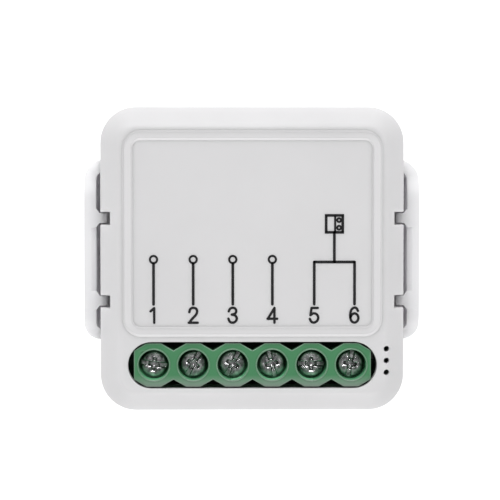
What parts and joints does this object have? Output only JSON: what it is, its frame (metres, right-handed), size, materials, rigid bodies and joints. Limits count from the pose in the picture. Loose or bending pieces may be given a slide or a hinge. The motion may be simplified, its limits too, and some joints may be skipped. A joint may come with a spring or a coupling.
{
  "type": "garage door controller",
  "caption": "Square relay module for a garage door opener, with a row of screw terminals and a clip-on wall bracket.",
  "frame": {"origin": "centre of the bracket's back face, on the wall that it is fastened to", "axes": "+Z out of the front face, +Y towards the end without terminals, +X to the right seen from the front"},
  "size_m": [0.0436, 0.0392, 0.02],
  "materials": {
    "case_white": "fine moulded grain, satin",
    "bracket_white": "smooth moulded, satin",
    "terminal_green": "moulded, satin",
    "board_green": "solder mask, satin",
    "button_grey": "moulded, satin",
    "switch_black": "moulded, matt",
    "relay_blue": "moulded, glossy",
    "ferrite": "ground ceramic, matt",
    "bobbin_black": "moulded",
    "winding": "taped copper winding",
    "capacitor_sleeve": "shrink sleeve, satin",
    "varistor_blue": "dipped epoxy",
    "resistor_green": "lacquered",
    "chip_black": "moulded, matt",
    "passive_tan": "ceramic",
    "led_lens": "clear lens",
    "radio_blue": "solder mask, satin",
    "shield_tin": "tinned",
    "header_pins": "plated pins in a black bar",
    "screw_steel": "zinc plated",
    "cage_steel": "zinc plated",
    "contact_brass": "tinned brass"
  },
  "bodies": {
    "module": {"front_cover": "case_white", "rear_cover": "case_white", "mounting_bracket": "bracket_white", "terminal_housing": "terminal_green", "main_board": "board_green", "tact_switch_body": "switch_black", "relay": "relay_blue", "transformer_core": "ferrite", "transformer_bobbin": "bobbin_black", "transformer_winding": "winding", "filter_capacitor": "capacitor_sleeve", "output_capacitor": "capacitor_sleeve", "varistor": "varistor_blue", "fuse_resistor": "resistor_green", "choke": "ferrite", "bridge_rectifier": "chip_black", "control_chip": "chip_black", "optocoupler": "chip_black", "small_passives": "passive_tan", "status_led": "led_lens", "radio_board": "radio_blue", "radio_shield": "shield_tin", "radio_header": "header_pins", "contact_bar_1": "contact_brass", "contact_bar_2": "contact_brass", "contact_bar_3": "contact_brass", "contact_bar_4": "contact_brass", "contact_bar_5": "contact_brass", "contact_bar_6": "contact_brass"},
    "pairing_button": {"pairing_button": "button_grey", "tact_switch_stem": "switch_black"},
    "terminal_screw_1": {"terminal_screw_1": "screw_steel"},
    "clamp_cage_1": {"clamp_cage_1": "cage_steel"},
    "terminal_screw_2": {"terminal_screw_2": "screw_steel"},
    "clamp_cage_2": {"clamp_cage_2": "cage_steel"},
    "terminal_screw_3": {"terminal_screw_3": "screw_steel"},
    "clamp_cage_3": {"clamp_cage_3": "cage_steel"},
    "terminal_screw_4": {"terminal_screw_4": "screw_steel"},
    "clamp_cage_4": {"clamp_cage_4": "cage_steel"},
    "terminal_screw_5": {"terminal_screw_5": "screw_steel"},
    "clamp_cage_5": {"clamp_cage_5": "cage_steel"},
    "terminal_screw_6": {"terminal_screw_6": "screw_steel"},
    "clamp_cage_6": {"clamp_cage_6": "cage_steel"}
  },
  "joints": [
    {"name": "pairing_button_press", "type": "slide", "parent": "module", "child": "pairing_button", "axis": [0, -1, 0], "range_m": [0, 0.0004], "stiffness_N_per_m": 500},
    {"name": "terminal_1_turn", "type": "hinge", "parent": "module", "child": "terminal_screw_1", "pos_m": [-0.0127, -0.0136, 0.018], "axis": [0, 0, -1], "range_deg": [0, 1680.1]},
    {"name": "clamp_1_rise", "type": "slide", "parent": "module", "child": "clamp_cage_1", "axis": [0, 0, 1], "range_m": [0, 0.0021]},
    {"name": "terminal_2_turn", "type": "hinge", "parent": "module", "child": "terminal_screw_2", "pos_m": [-0.00762, -0.0136, 0.018], "axis": [0, 0, -1], "range_deg": [0, 1680.1]},
    {"name": "clamp_2_rise", "type": "slide", "parent": "module", "child": "clamp_cage_2", "axis": [0, 0, 1], "range_m": [0, 0.0021]},
    {"name": "terminal_3_turn", "type": "hinge", "parent": "module", "child": "terminal_screw_3", "pos_m": [-0.00254, -0.0136, 0.018], "axis": [0, 0, -1], "range_deg": [0, 1680.1]},
    {"name": "clamp_3_rise", "type": "slide", "parent": "module", "child": "clamp_cage_3", "axis": [0, 0, 1], "range_m": [0, 0.0021]},
    {"name": "terminal_4_turn", "type": "hinge", "parent": "module", "child": "terminal_screw_4", "pos_m": [0.00254, -0.0136, 0.018], "axis": [0, 0, -1], "range_deg": [0, 1680.1]},
    {"name": "clamp_4_rise", "type": "slide", "parent": "module", "child": "clamp_cage_4", "axis": [0, 0, 1], "range_m": [0, 0.0021]},
    {"name": "terminal_5_turn", "type": "hinge", "parent": "module", "child": "terminal_screw_5", "pos_m": [0.00762, -0.0136, 0.018], "axis": [0, 0, -1], "range_deg": [0, 1680.1]},
    {"name": "clamp_5_rise", "type": "slide", "parent": "module", "child": "clamp_cage_5", "axis": [0, 0, 1], "range_m": [0, 0.0021]},
    {"name": "terminal_6_turn", "type": "hinge", "parent": "module", "child": "terminal_screw_6", "pos_m": [0.0127, -0.0136, 0.018], "axis": [0, 0, -1], "range_deg": [0, 1680.1]},
    {"name": "clamp_6_rise", "type": "slide", "parent": "module", "child": "clamp_cage_6", "axis": [0, 0, 1], "range_m": [0, 0.0021]}
  ],
  "couplings": [
    {"joint": "terminal_1_turn", "follows": "clamp_1_rise", "rad_per_m": 13963},
    {"joint": "terminal_2_turn", "follows": "clamp_2_rise", "rad_per_m": 13963},
    {"joint": "terminal_3_turn", "follows": "clamp_3_rise", "rad_per_m": 13963},
    {"joint": "terminal_4_turn", "follows": "clamp_4_rise", "rad_per_m": 13963},
    {"joint": "terminal_5_turn", "follows": "clamp_5_rise", "rad_per_m": 13963},
    {"joint": "terminal_6_turn", "follows": "clamp_6_rise", "rad_per_m": 13963}
  ]
}
